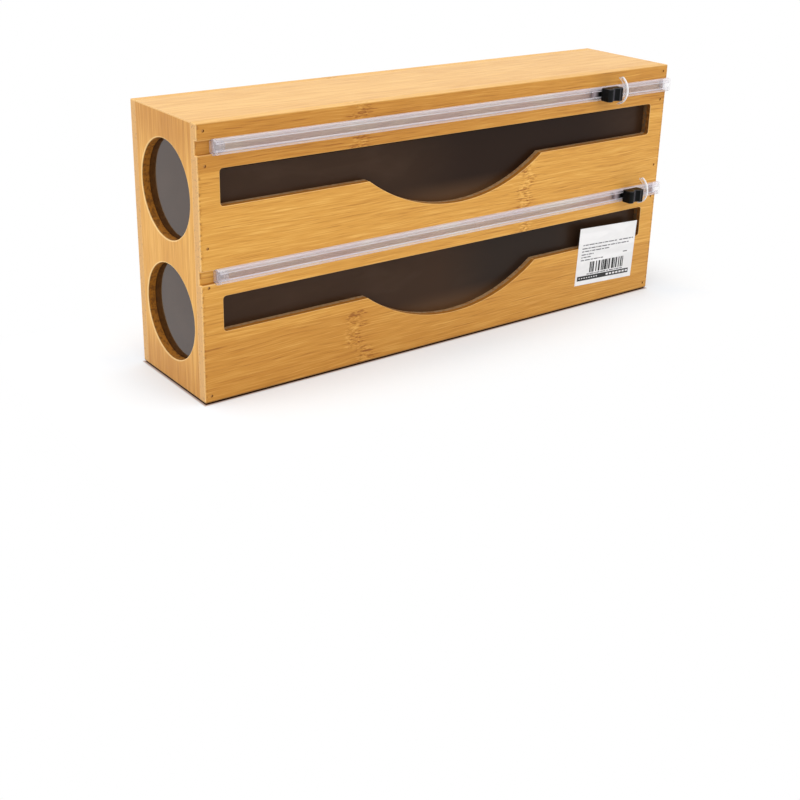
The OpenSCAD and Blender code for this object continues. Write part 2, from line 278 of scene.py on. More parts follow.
def bamboo_group():
    """Fibres, dashes and knuckles of bamboo, with the grain along the vector's x and strips across its y."""
    name = "Bamboo grain"
    if name in bpy.data.node_groups:
        return bpy.data.node_groups[name]
    inputs = {
        "Vector": ["Vector"],
        "Float": ["Tone", "Shade", "Knuckle", "Seed", "Cut End", "Wall", "Arris"],
        "Color": ["Pale", "Middle", "Dark", "End Pale", "End Dark", "Wall Color", "Freckles"],
    }
    outputs = {"Color": ["Color"], "Float": ["Roughness", "Height"]}
    tree, _, given, out = new_tree(name, "ShaderNodeTree", inputs, outputs)
    shift = join_vector(tree, given["Seed"], times(tree, given["Seed"], SIDE_SHIFT))
    strip = vector_calc(tree, "ADD", given["Vector"], shift)
    # The fibres sway a little as they run along the strip
    sway = lift(tree, noise(tree, strip, (13, 40, 40)), 0.004, -0.002)
    grain = vector_calc(tree, "ADD", strip, join_vector(tree, y=sway))
    bands = noise(tree, grain, (7, 150, 150), 1)
    fibres = noise(tree, grain, (24, 900, 900), 2, 0.6)
    hairs = noise(tree, grain, (46, 1700, 1700), 2, 0.6)
    dashes = ramp(tree, noise(tree, grain, (70, 1100, 1100), 1, 0.4), 0.58, 0.72)
    # Knuckles: a ragged upright row of short dashes across one strip
    wander = lift(tree, noise(tree, strip, (6, 150, 150), 3, 0.6), 0.018, -0.009)
    ahead = less(tree, split_vector(tree, given["Vector"])[0], given["Knuckle"])
    away = absolute(tree, plus(tree, ahead, wander))
    knuckle = ramp(tree, away, 2 * MM, 9 * MM, 1, 0)
    halo = ramp(tree, away, 5 * MM, 20 * MM, 1, 0)
    feathers = noise(tree, grain, (280, 1000, 1000), 2, 0.6, 0.4)
    specks = times(tree, knuckle, ramp(tree, feathers, 0.5, 0.62))
    glints = times(tree, knuckle, ramp(tree, feathers, 0.47, 0.36))
    # Tone runs from 0, dark, through 0.5 to 1, pale. Each part moves it about its own middle, by its strength
    tone = given["Tone"]
    for part, middle, strength in (
        (bands, 0.5, 0.25),
        (fibres, 0.5, 0.75),
        (hairs, 0.5, 1.25),
        (dashes, 0, -0.12),
        (times(tree, halo, dashes), 0, -0.35),
        (specks, 0, -0.4),
        (glints, 0, 0.4),
    ):
        tone = lift(tree, less(tree, part, middle), strength, tone)
    low = mix(tree, ramp(tree, tone, -0.15, 0.5), given["Dark"], given["Middle"])
    face = mix(tree, ramp(tree, tone, 0.45, 1.0), low, given["Pale"])
    deep = mix(tree, 1.0, face, DEEP_TINT, "MULTIPLY")
    face = mix(tree, given["Shade"], deep, face)
    # Cut ends show the fibres as dots, and routed walls are freckled
    dots = ramp(tree, noise(tree, strip, (700, 800, 800), 2, 0.7), 0.56, 0.72)
    cut = mix(tree, dots, given["End Pale"], given["End Dark"])
    whole = mix(tree, given["Cut End"], face, cut)
    freckles = ramp(tree, noise(tree, strip, (440, 480, 480), 3, 0.7), 0.46, 0.6)
    freckles = times(tree, freckles, FRECKLE_SHARE)
    routed = mix(tree, freckles, given["Wall Color"], given["Freckles"])
    whole = mix(tree, given["Wall"], whole, routed)
    # Small chips along the outer edges
    chips = ramp(tree, noise(tree, strip, (420, 480, 480), 3, 0.7), 0.5, 0.58)
    chips = times(tree, given["Arris"], chips)
    tree.links.new(mix(tree, chips, whole, given["Dark"]), out["Color"])
    relief = lift(tree, dashes, -0.5, fibres)
    relief = lift(tree, chips, -1.5, relief)
    tree.links.new(lift(tree, specks, -0.8, relief), out["Height"])
    gloss = lift(tree, fibres, -0.16, 0.5)
    bare = most(tree, given["Cut End"], given["Wall"])
    tree.links.new(lift(tree, bare, 0.25, gloss), out["Roughness"])
    return tree


def haze_group():
    """Faint smears and fine scratches of handled plastic and metal."""
    name = "Handling haze"
    if name in bpy.data.node_groups:
        return bpy.data.node_groups[name]
    inputs = {"Vector": ["Vector"], "Float": ["Base", "Smears", "Fine"]}
    outputs = {"Float": ["Mask", "Roughness", "Height"]}
    tree, _, given, out = new_tree(name, "ShaderNodeTree", inputs, outputs)
    smears = noise(tree, given["Vector"], (22, 60, 60), 3, 0.6, 0.8)
    scratches = ramp(tree, noise(tree, given["Vector"], (30, 1400, 1400)), 0.6, 0.75)
    fine = noise(tree, given["Vector"], (1500, 1500, 1500), 2, 0.6)
    mask = ramp(tree, smears, 0.4, 0.7)
    tree.links.new(mask, out["Mask"])
    rough = lift(tree, mask, given["Smears"], given["Base"])
    traces = times(tree, scratches, times(tree, given["Smears"], 0.5))
    tree.links.new(plus(tree, traces, rough), out["Roughness"])
    bumps = times(tree, fine, given["Fine"])
    tree.links.new(lift(tree, scratches, -0.15, bumps), out["Height"])
    return tree


def new_material(name):
    """A material with a Principled shader, its tree, and the shader's inputs."""
    material = bpy.data.materials.new(name)
    material.use_nodes = True
    tree = material.node_tree
    return material, tree, tree.nodes["Principled BSDF"].inputs


# Strips from a board's lower edge: where the strip ends, its tone, its shade, and where its knuckle lies. The
# shade is partly the strips' own tone and partly painted shade, on the front panel's lowest strips and on the
# back panel
FRONT_STRIPS = [
    (0.011, 0.5, 0.3, -0.067),
    (0.034, 0.52, 0.4, -0.076),
    (0.058, 0.52, 0.7, 0.24),
    (0.082, 0.52, 0.9, 0.0565),
    (0.106, 0.5, 1.0, 0.055),
    (0.130, 0.5, 0.9, -0.21),
    (0.157, 0.5, 0.25, -0.073),
]
BACK_STRIPS = [
    (0.026, 0.48, 0.3, 0.091),
    (0.049, 0.54, 0.5, -0.026),
    (0.073, 0.5, 0.4, 0.148),
    (0.096, 0.54, 0.5, -0.038),
    (0.121, 0.5, 0.3, 0.0015),
    (0.135, 0.52, 0.5, 0.23),
    (0.157, 0.5, 0.35, -0.044),
]
TOP_STRIPS = [
    (0.016, 0.72, 1.0, 0.22),
    (0.037, 0.8, 1.0, -0.24),
    (0.058, 0.74, 1.0, 0.25),
    (0.08, 0.78, 1.0, -0.25),
]
END_STRIPS = [
    (0.003, 0.5, 1.0, 0.3),
    (0.006, 0.68, 1.0, -0.3),
    (0.0085, 0.44, 0.9, 0.3),
    (0.012, 0.64, 1.0, 0.3),
    (0.017, 0.52, 1.0, -0.3),
    (0.038, 0.5, 0.9, -0.3),
    (0.06, 0.58, 1.0, 0.3),
    (0.08, 0.52, 0.9, 0.3),
]
STRIP_SPAN = 0.16
KNUCKLE_SPAN = 0.7
# Step of the seed from strip to strip, and the length that the seeds are spread over
SEED_STEP, SEED_SPREAD = 0.37, 9
# Like boards: axes along the grain and across the strips, gloss, how pale their edges are, from wear and as a
# painted highlight, how chipped they are, the shade left at their ends, how far they lighten along their
# length, and their walls' plies
Board = namedtuple(
    "Board", "nodes along across strips seed gloss worn chipped ends lean plies", defaults=(0.0, 1.0, 0.0, 1)
)
BOARDS = [
    Board(["front_panel"], 0, 2, FRONT_STRIPS, 0.11, 0.25, 0.4, chipped=1.0, lean=0.25, plies=2),
    Board(["back_panel"], 0, 2, BACK_STRIPS, 0.53, 0.25, 0.4, chipped=0.5),
    Board(["top_board", "bottom_board", "shelf"], 0, 1, TOP_STRIPS, 0.29, 0.8, 0.4),
    Board(["left_end_board", "right_end_board"], 2, 1, END_STRIPS, 0.71, 0.3, 0.8, ends=0.3),
]
# Bands by the distance from a board's edges: where walls begin, chips end, and the ends are deeper
WALL_BAND = (0.8 * MM, 1.6 * MM)
CHIP_BAND = (0.2 * MM, 2.4 * MM)
END_BAND = (6 * MM, 34 * MM)
# Where a board lightens along its length, and the height up to which painted shade darkens its foot
LEAN_BAND = (-0.08, 0.1)
FOOT_SHADE_BAND = (0.4 * MM, 1.5 * MM)
FOOT_SHADE_SHARE = 0.75
PLY_BLUR = 0.3 * MM
# How a face has to turn to count as a cut end, as a wall, and as square to an axis
CUT_TURN, WALL_TURN, SQUARE_TURN = (0.55, 0.85), (0.75, 0.45), (0.6, 0.9)
# How much paler faces square to the axis across the strips are: painted sheen
EDGE_SHEEN_TONE = 0.3
# How much painted shade darkens the front panel's walls across the grain, and what that leaves of the inner
# ply's colour
WALL_SHADE_SHARE, SHADED_PLY = 0.85, 0.2
GRAIN_BUMP, GRAIN_DEPTH = 0.25, 0.3 * MM


def strip_table(tree, height, strips, seed):
    """Looks up tone, shade, knuckle and seed of the strip at a height."""
    node = add(tree, "ShaderNodeValToRGB", {0: calc("DIVIDE", tree, height, STRIP_SPAN)})
    band = node.color_ramp
    band.interpolation = "CONSTANT"
    start = 0.0
    for index, (end, tone, shade, knuckle) in enumerate(strips):
        stop = band.elements[0] if index == 0 else band.elements.new(start / STRIP_SPAN)
        stop.position = start / STRIP_SPAN
        stop.color = (tone, knuckle / KNUCKLE_SPAN + 0.5, (index * SEED_STEP + seed) % 1, shade)
        start = end
    band.elements.remove(band.elements[len(band.elements) - 1])
    parts = add(tree, "ShaderNodeSeparateColor", {0: node.outputs[0]}).outputs
    knuckle = times(tree, less(tree, parts[1], 0.5), KNUCKLE_SPAN)
    return parts[0], node.outputs["Alpha"], knuckle, times(tree, parts[2], SEED_SPREAD)


def bamboo(name, look, board, worn):
    """Bamboo for a group of boards, for their faces or, with a share of pale edge colour, worn and partly a
    painted highlight, for their edges.
    """
    material, tree, shader = new_material(name)
    coordinates = add(tree, "ShaderNodeTexCoord").outputs
    place = split_vector(tree, coordinates["Object"])
    facing = split_vector(tree, coordinates["Normal"])
    along, across, plies = board.along, board.across, board.plies
    depth = 3 - along - across
    low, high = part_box(board.nodes[0])
    # Distance from the board's nearer end on an axis, and how far a face has turned to it
    from_low = lambda axis: less(tree, place[axis], low[axis])
    margin = lambda axis: least(tree, from_low(axis), less(tree, high[axis], place[axis]))
    turn = lambda axis: absolute(tree, facing[axis])
    tone, shade, knuckle, shift = strip_table(tree, from_low(across), board.strips, board.seed)
    cut = ramp(tree, turn(along), *CUT_TURN)
    to_end = margin(along)
    inside = ramp(tree, least(tree, to_end, margin(across)), *WALL_BAND)
    wall = times(tree, inside, ramp(tree, turn(depth), *WALL_TURN))
    outward = ramp(tree, turn(depth), *SQUARE_TURN)
    arris = times(tree, outward, ramp(tree, to_end, *CHIP_BAND, board.chipped, 0))
    # With two plies, the inner half of the walls is paler
    middle = (low[depth] + high[depth]) / 2
    inner = ramp(tree, place[depth], middle - PLY_BLUR, middle + PLY_BLUR, 0, plies - 1)
    # The tone deepens towards the board's ends, and may lighten along the board
    shade = times(tree, shade, ramp(tree, to_end, *END_BAND, board.ends, 1))
    shade = plus(tree, shade, ramp(tree, place[along], *LEAN_BAND, 0, board.lean))
    # Faces square to the axis across the strips, such as the panels' top edges, drop the strips' shade and
    # are paler: painted sheen, like the glossier top board's
    sheen_edge = ramp(tree, turn(across), *SQUARE_TURN)
    shade = most(tree, least(tree, shade, 1), sheen_edge)
    tone = lift(tree, sheen_edge, EDGE_SHEEN_TONE, tone)
    # Edges take a share of the arris colour: sanded wear and a painted highlight
    sanded_and_highlit = lambda colour: [c + (p - c) * worn for c, p in zip(colour, look.arris)]
    wall_colour = mix(tree, inner, sanded_and_highlit(look.wall), list(look.ply))
    # Painted shade darkens the walls across the grain, such as the windows' side walls
    across_grain = times(tree, cut, WALL_SHADE_SHARE * (plies - 1))
    dark_brown = mix(tree, inner, sanded_and_highlit(look.dark_brown), [c * SHADED_PLY for c in look.ply])
    values = {
        "Vector": join_vector(tree, place[along], place[across], place[depth]),
        "Tone": tone,
        "Shade": shade,
        "Knuckle": knuckle,
        "Seed": shift,
        "Cut End": cut,
        "Wall": wall,
        "Arris": arris,
        "Pale": sanded_and_highlit(look.pale),
        "Middle": sanded_and_highlit(look.middle),
        "Dark": sanded_and_highlit(look.dark),
        "End Pale": sanded_and_highlit(look.end_pale),
        "End Dark": list(look.end_dark),
        "Wall Color": mix(tree, across_grain, wall_colour, dark_brown),
        "Freckles": sanded_and_highlit(look.dark) if plies == 2 else sanded_and_highlit(look.dark_brown),
    }
    grain = add(tree, "ShaderNodeGroup", values, node_tree=bamboo_group()).outputs
    # Painted shade darkens the foot, next to the floor
    foot = ramp(tree, place[2], *FOOT_SHADE_BAND, FOOT_SHADE_SHARE, 0)
    feed(tree, shader["Base Color"], mix(tree, foot, grain["Color"], list(look.dark_brown)))
    feed(tree, shader["Roughness"], grain["Roughness"])
    feed(tree, shader["Normal"], bump(tree, grain["Height"], GRAIN_BUMP, GRAIN_DEPTH))
    shader["Specular IOR Level"].default_value = board.gloss
    return material


# Smears are a little paler than the piece
SMEAR_GAIN, SMEAR_LIFT = 1.12, 0.004
HAZE_DEPTH = 0.1 * MM
# Turn of a face over which clear plastic comes to show
VEIL_TURN = (0.2, 0.8)
# Bands along a strap, from its middle: over which it goes from faint at the slider to full at its outer side,
# and where the painted highlight along its outer edge lies
STRAP_BAND, HIGHLIGHT_BAND = (-0.8 * MM, 0.8 * MM), (0.6 * MM, 1.2 * MM)
FAINT_SHARE, HIGHLIGHT_SHARE = 0.35, 0.9


def veiled(tree, coordinates, axis, low, high, middle=None):
    """How much of itself clear plastic shows: more on faces that look along an axis, a painted sheen, or on a
    strap's sides, fainter at the slider and full at the outer side, with a painted highlight along the outer
    edge."""
    facing = split_vector(tree, coordinates["Normal"])[axis]
    if middle is None:
        return ramp(tree, facing, *VEIL_TURN, low, high)
    sides = ramp(tree, absolute(tree, facing), *VEIL_TURN, low, high)
    along = split_vector(tree, coordinates["Object"])[axis]
    thin = ramp(tree, along, *(middle + end for end in STRAP_BAND), FAINT_SHARE, 1)
    white = ramp(tree, along, *(middle + end for end in HIGHLIGHT_BAND), 0, HIGHLIGHT_SHARE)
    return most(tree, times(tree, sides, thin), white)


def handled(name, colour, base, smears, fine=0, strength=0, tints=(), veil=None, **constants):
    """Plastic, metal or paper with haze, tints along axes, a veil if clear, and constants by socket names."""
    material, tree, shader = new_material(name)
    coordinates = add(tree, "ShaderNodeTexCoord").outputs
    values = {"Vector": coordinates["Object"], "Base": base, "Smears": smears, "Fine": fine}
    haze = add(tree, "ShaderNodeGroup", values, node_tree=haze_group()).outputs
    smeared = [min(1, c * SMEAR_GAIN + SMEAR_LIFT) for c in colour]
    tint = mix(tree, haze["Mask"], list(colour), smeared)
    for shade, axis, centre, full, none in tints:
        level = split_vector(tree, coordinates["Object"])[axis]
        away = absolute(tree, less(tree, level, centre))
        tint = mix(tree, ramp(tree, away, full, none, 1, 0), tint, list(shade))
    feed(tree, shader["Base Color"], tint)
    feed(tree, shader["Roughness"], haze["Roughness"])
    if strength:
        feed(tree, shader["Normal"], bump(tree, haze["Height"], strength, HAZE_DEPTH))
    if veil:
        feed(tree, shader["Alpha"], veiled(tree, coordinates, *veil))
    for key, value in constants.items():
        shader[key.replace("_", " ")].default_value = value
    return material


# Mesh helpers


def place_object(name, data):
    """A new object in the scene."""
    thing = bpy.data.objects.new(name, data)
    bpy.context.scene.collection.objects.link(thing)
    return thing


def show(name, mesh, body, nodes=()):
    """Adds a finished mesh as a piece that rides on a body and stands for CAD nodes."""
    piece = place_object(name, mesh)
    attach(piece, body)
    if nodes:
        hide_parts(*nodes)


def plain_mesh(maker, name):
    """The evaluated mesh of an object that is then removed."""
    bpy.context.view_layer.update()
    graph = bpy.context.evaluated_depsgraph_get()
    made = maker.evaluated_get(graph)
    mesh = bpy.data.meshes.new_from_object(made, preserve_all_data_layers=True, depsgraph=graph)
    mesh.name = name
    maker.modifiers.clear()
    bpy.data.objects.remove(maker)
    return mesh


def middle_of(node):
    """The middle of a CAD node."""
    low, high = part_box(node)
    return (low + high) / 2


def merged(node):
    """A CAD node's mesh with its loose triangles joined."""
    bm = bmesh.new()
    bm.from_mesh(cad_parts[node].data)
    bmesh.ops.remove_doubles(bm, verts=bm.verts, dist=WELD)
    return bm


def clusters(items, neighbours):
    """Groups of items that hang together."""
    left = set(items)
    while left:
        group = [left.pop()]
        for here in group:
            near = left.intersection(neighbours(here))
            left -= near
            group += near
        yield group


def span(spots):
    """Lowest and highest corner of some points."""
    columns = list(zip(*spots))
    return Vector([min(c) for c in columns]), Vector([max(c) for c in columns])


def islands(node):
    """Lowest and highest corner of each separate solid of a CAD node."""
    bm = merged(node)
    joined = lambda vert: [edge.other_vert(vert) for edge in vert.link_edges]
    boxes = [span(v.co for v in group) for group in clusters(bm.verts, joined)]
    bm.free()
    return sorted(boxes, key=lambda box: tuple(round(c, 6) for c in box[0]))


def rims(bm):
    """Convex sharp edges, without the small rims of nail holes."""
    sharp = {e for e in bm.edges if e.is_manifold and e.calc_face_angle(0) > SHARP_ANGLE}
    for edge in bm.edges:
        edge.smooth = edge not in sharp
    touching = lambda edge: [other for vert in edge.verts for other in vert.link_edges]
    found = []
    for group in clusters(sharp, touching):
        low, high = span(v.co for e in group for v in e.verts)
        if max(high - low) > SMALL_RIM:
            found += [e for e in group if e.is_convex]
    return found


def level_normals(mesh):
    """Gives the mesh normals with which flat faces stay flat and rounded edges blend into them."""
    around = [[] for _ in mesh.vertices]
    for face in mesh.polygons:
        for vert in face.vertices:
            around[vert].append((face.normal.copy(), face.area))
    normals = []
    for face in mesh.polygons:
        for vert in face.vertices:
            near = [normal * area for normal, area in around[vert] if normal.dot(face.normal) > BLEND_COSINE]
            normals.append(sum(near, Vector()).normalized())
    mesh.normals_split_custom_set(normals)
    return mesh


def raise_middle(bm, rebate, rise):
    """Raises the outer face of a disc that lies across x, inside a flat rebate."""
    outer = [f for f in bm.faces if f.normal.x < -SQUARE]
    bmesh.ops.inset_region(bm, faces=outer, thickness=rebate, use_even_offset=True)
    lifted = bmesh.ops.extrude_discrete_faces(bm, faces=outer)["faces"]
    bmesh.ops.translate(bm, verts=list({v for f in lifted for v in f.verts}), vec=(-rise, 0, 0))


def eased_copy(node, materials, width, segments=2, share=lambda edge: 1.0, rework=None):
    """A merged copy of a CAD node's mesh with its outer edges rounded, each by its share of the width."""
    bm = merged(node)
    bmesh.ops.dissolve_limit(bm, angle_limit=FLAT_ANGLE, verts=bm.verts, edges=bm.edges)
    if rework:
        rework(bm)
    weights = bm.edges.layers.float.new("bevel_weight_edge")
    for edge in rims(bm):
        edge[weights] = share(edge)
        edge.smooth = edge[weights] > 0
    for face in bm.faces:
        face.smooth = True
        face.material_index = 0
    mesh = bpy.data.meshes.new(node + "_eased")
    bm.to_mesh(mesh)
    bm.free()
    for material in materials:
        mesh.materials.append(material)
    maker = place_object(node + "_maker", mesh)
    ease = maker.modifiers.new("Ease", "BEVEL")
    ease.width = width
    ease.segments = segments
    ease.limit_method = "WEIGHT"
    ease.material = len(materials) - 1
    ease.use_clamp_overlap = False
    ease.loop_slide = False
    return level_normals(plain_mesh(maker, node + "_mesh"))


def dress(nodes, body, slot, materials, width, **options):
    """Eased copies of CAD nodes, in one material or in one for faces and one for edges."""
    for node in nodes:
        show(node + "_piece", eased_copy(node, materials, width, **options), body, [node])


def new_geometry(name, inputs):
    """An empty geometry tree."""
    shape = {"Geometry": ["Geometry"]}
    return new_tree(name, "GeometryNodeTree", {**shape, **inputs}, shape)


def grow(name, points, tree, names, values, attribute=None):
    """Runs a geometry tree on points and returns the plain mesh."""
    mesh = bpy.data.meshes.new(name + "_points")
    mesh.from_pydata([tuple(p) for p in points], [], [])
    if attribute:
        label, sizes = attribute
        layer = mesh.attributes.new(label, "FLOAT_VECTOR", "POINT")
        for index, size in enumerate(sizes):
            layer.data[index].vector = size
    maker = place_object(name + "_maker", mesh)
    nodes = maker.modifiers.new("Grow", "NODES")
    nodes.node_group = tree
    for label, value in values.items():
        nodes[names[label]] = value
    return plain_mesh(maker, name + "_mesh")


def finish_instances(tree, leave, material, values):
    """Puts a shape on points, makes it real and gives it its material."""
    spread = add(tree, "GeometryNodeInstanceOnPoints", values).outputs["Instances"]
    real = add(tree, "GeometryNodeRealizeInstances", {"Geometry": spread}).outputs["Geometry"]
    painted = add(tree, "GeometryNodeSetMaterial", {"Geometry": real, "Material": material})
    tree.links.new(painted.outputs["Geometry"], leave["Geometry"])


# Operators


class DISPENSER_OT_boards(bpy.types.Operator):
    """Dress the boards and panels in bamboo with sanded edges"""

    bl_idname = "dispenser.boards"
    bl_label = "Boards"

    def execute(self, context):
        look = context.scene.dispenser_bamboo

        def share(edge):
            """An edge's share of the foot's rounding."""
            spots = [v.co for v in edge.verts]
            for seam in (FRONT_HIGH.y, BACK_LOW.y):
                if all(abs(p.y - seam) < WELD for p in spots):
                    return look.seam_ease / look.foot_ease
            if all(p.z < WELD for p in spots):
                return 1.0
            between_ends = all(abs(p.x) < FRONT_HIGH.x - WELD for p in spots)
            # Inner edges are left sharp
            if between_ends and all(abs(p.y) < BACK_LOW.y - WELD for p in spots):
                return 0.0
            # Rims of the windows and grooves are sharper than the holes and the outer edges
            if between_ends and all(p.y < 0 and WELD < p.z < CASE_HEIGHT - WELD for p in spots):
                return look.rim_ease / look.foot_ease
            return look.ease / look.foot_ease

        for board in BOARDS:
            first = board.nodes[0]
            faces = bamboo(first + "_bamboo", look, board, 0.0)
            edges = bamboo(first + "_edges", look, board, board.worn)
            dress(board.nodes, "case", "bamboo", [faces, edges], look.foot_ease, segments=3, share=share)
        return {"FINISHED"}


# Where the bays are darkest, and how far above a front pane's foot its dip glows, and how far that fades
SHADOW_X = 0.06
GLOW_RISE, GLOW_FADE = 8.5 * MM, 15 * MM


class DISPENSER_OT_panes(bpy.types.Operator):
    """Dress the smoked panes"""

    bl_idname = "dispenser.panes"
    bl_label = "Panes"

    def execute(self, context):
        look = context.scene.dispenser_plastic
        smoked = partial(handled, smears=0.05, IOR=ACRYLIC_IOR, Transmission_Weight=0.25)
        # The long front panes have a low-glare face, and a shadow with its half width and its reach
        for level, shadow, full, none in (
            ("upper", look.upper_shadow, 0.04, 0.125),
            ("lower", look.shadow, 0.02, 0.075),
        ):
            pane = level + "_front_pane"
            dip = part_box(pane)[0].z + GLOW_RISE
            tints = [(shadow, 0, SHADOW_X, full, none), (look.amber, 2, dip, 0, GLOW_FADE)]
            smoke = smoked("smoked_" + pane, look.smoke, 0.3, tints=tints, Specular_IOR_Level=0.03)
            dress([pane], "case", "smoked_acrylic", [smoke], look.rail_ease)
        # The end panes are polished, and their middle is raised
        rework = lambda bm: raise_middle(bm, look.pane_rebate, look.pane_rise)
        for level in LEVELS:
            pane = level + "_end_pane"
            smoke = smoked("smoked_" + pane, look.end_smoke, 0.06, Specular_IOR_Level=0.44)
            dress([pane], "case", "smoked_acrylic", [smoke], look.rail_ease, rework=rework)
        return {"FINISHED"}


TAPE_EASE = 0.1 * MM
BLADE_EASE = 0.03 * MM


class DISPENSER_OT_rails(bpy.types.Operator):
    """Dress the clear rails, their end caps and tapes, and the slider stops"""

    bl_idname = "dispenser.rails"
    bl_label = "Rails"

    def execute(self, context):
        look = context.scene.dispenser_plastic
        clear = partial(handled, base=0.1, smears=0.08, IOR=ACRYLIC_IOR)
        rim = partial(handled, base=0.15, smears=0.08, IOR=ACRYLIC_IOR)
        # Up-facing faces of the rails show more of their pale colour, a painted sheen; the rails' edges carry
        # a painted highlight and the caps' edges painted shade
        wall = clear("clear_plastic", look.clear, veil=(2, 0.14, 0.5))
        rail_rims = rim("clear_rims", look.rim, Alpha=0.45)
        cap_rims = rim("cap_rims", look.cap_rim, Alpha=0.5)
        tape = handled("adhesive_tape", look.tape, 0.3, 0.1, 0.3, 0.2, IOR=1.45, Alpha=0.86)
        rails = [level + "_rail" for level in LEVELS]
        caps = [f"{rail}_{side}_cap" for rail in rails for side in ("left", "right")]
        dress(rails, "case", "clear_plastic", [wall, rail_rims], look.rail_ease)
        dress(caps, "case", "clear_plastic", [wall, cap_rims], look.rail_ease)
        for level in LEVELS:
            stop = level + "_slider_stop"
            middle = middle_of(stop).x
            # The strap is fainter at the slider and full at its outer side, where a painted highlight lies
            strap = clear(stop + "_plastic", look.strap_rim, veil=(0, 0.1, 1.0, middle))
            strap_rims = rim(stop + "_rims", look.strap_rim, veil=(0, 1.0, 1.0, middle))
            dress([stop], "case", "clear_plastic", [strap, strap_rims], look.rail_ease)
        tapes = [rail + "_tape" for rail in rails]
        dress(tapes, "case", "adhesive_tape", [tape], TAPE_EASE, segments=1)
        return {"FINISHED"}


# Half the runner's black middle, and where its grey ends begin
RUNNER_BLACK, RUNNER_GREY = 6.5 * MM, 11 * MM
# The glint on a knob: its place beside the knob's middle, its half width and its reach
GLINT_ASIDE, GLINT_FULL, GLINT_NONE = 0.6 * MM, 0.3 * MM, 0.9 * MM
# From the runner's front to the back of the knob's block
STEM_REACH = 1.5 * MM


class DISPENSER_OT_sliders(bpy.types.Operator):
    """Dress the knobs, runners and blades of the two sliders"""

    bl_idname = "dispenser.sliders"
    bl_label = "Sliders"

    def execute(self, context):
        look = context.scene.dispenser_plastic
        moulded = partial(handled, smears=0.1, fine=0.4, strength=0.2)
        # Paler edges of the knobs: a painted highlight
        black_rims = moulded("black_rims", look.black_rim, 0.3, IOR=1.5, Specular_IOR_Level=0.3)
        steel = handled("blade_steel", look.steel, 0.24, 0.12, 0.2, 0.2, Metallic=1.0)
        for level in LEVELS:
            body, knob, runner, blade = (level + "_" + part for part in ("slider", "knob", "runner", "blade"))
            core = [(look.black, 0, middle_of(runner).x, RUNNER_BLACK, RUNNER_GREY)]
            grey = moulded(runner + "_plastic", look.runner, 0.5, tints=core, Specular_IOR_Level=0.1)
            # A glint lies along the near side of the knob's dish
            glint = [(look.glint, 0, middle_of(knob).x - GLINT_ASIDE, GLINT_FULL, GLINT_NONE)]
            black = moulded(knob + "_plastic", look.black, 0.36, tints=glint, Specular_IOR_Level=0.1)
            # Only the block in front of the rail is rounded, not the stem
            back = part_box(runner)[0].y - STEM_REACH
            share = lambda edge: float(all(v.co.y < back for v in edge.verts))
            faces = [black, black_rims]
            dress([knob], body, "black_plastic", faces, look.knob_ease, segments=3, share=share)
            dress([runner], body, "black_plastic", [grey], look.rail_ease)
            dress([blade], body, "blade_steel", [steel], BLADE_EASE, segments=1)
        return {"FINISHED"}


# A brad's underside and point as parts of its head and shank, and its sizes
HEAD_TAPER, POINT_LENGTH = 0.86, 3
HEAD_THICKNESS, SHANK_RADIUS, POINT_RADIUS = 0.8 * MM, 0.5 * MM, 0.1 * MM
HEAD_SIDES, SHANK_SIDES = 20, 12


class DISPENSER_OT_brads(bpy.types.Operator):
    """Drive the brads into the front and back panels"""

    bl_idname = "dispenser.brads"
    bl_label = "Brads"

    def execute(self, context):
        look = context.scene.dispenser_plastic
        nail = handled("brad_steel", look.nail, 0.5, 0.2, 0.4, 0.3, Metallic=0.3)
        tree, names = self.brad_tree()
        for node, side in (("front_brads", -1), ("back_brads", 1)):
            boxes = islands(node)
            size = boxes[0][1] - boxes[0][0]
            spots = [
                Vector(((low.x + high.x) / 2, low.y if side < 0 else high.y, (low.z + high.z) / 2))
                for low, high in boxes
            ]
            values = {
                "Head Radius": size.x / 2,
                "Head Thickness": HEAD_THICKNESS,
                "Shank Radius": SHANK_RADIUS,
                "Length": size.y,
                "Turn": (side * math.pi / 2, 0, 0),
                "Material": nail,
            }
            show(node + "_piece", grow(node, spots, tree, names, values), "case", [node])
        return {"FINISHED"}

    def brad_tree(self):
        """Geometry nodes that put a headed, pointed brad on each point."""
        sizes = ["Head Radius", "Head Thickness", "Shank Radius", "Length"]
        inputs = {"Float": sizes, "Vector": ["Turn"], "Material": ["Material"]}
        tree, names, given, leave = new_geometry("Brad set", inputs)
        head, thick, shank, length = (given[label] for label in sizes)
        under = times(tree, head, HEAD_TAPER)
        point = times(tree, shank, POINT_LENGTH)
        reach = less(tree, less(tree, length, point), thick)
        neck = plus(tree, thick, reach)
        parts = tree.nodes.new("GeometryNodeJoinGeometry")
        for sides, top, foot, depth, start in (
            (HEAD_SIDES, head, under, thick, 0.0),
            (SHANK_SIDES, shank, shank, reach, thick),
            (SHANK_SIDES, POINT_RADIUS, shank, point, neck),
        ):
            values = {"Vertices": sides, "Radius Top": top, "Radius Bottom": foot, "Depth": depth}
            cone = add(tree, "GeometryNodeMeshCone", values).outputs["Mesh"]
            values = {"Geometry": cone, "Translation": join_vector(tree, z=start)}
            moved = add(tree, "GeometryNodeTransform", values)
            tree.links.new(moved.outputs["Geometry"], parts.inputs["Geometry"])
        brad = parts.outputs["Geometry"]
        values = {"Points": given["Geometry"], "Instance": brad, "Rotation": given["Turn"]}
        finish_instances(tree, leave, given["Material"], values)
        return tree, names


LABEL_SIZE, LABEL_TILT, LABEL_CELLS = (53.5 * MM, 39.8 * MM), math.radians(2.5), (18, 14)
PAPER_THICK, PAPER_GAP, INK_FILM = 0.2 * MM, 0.01 * MM, 0.03 * MM
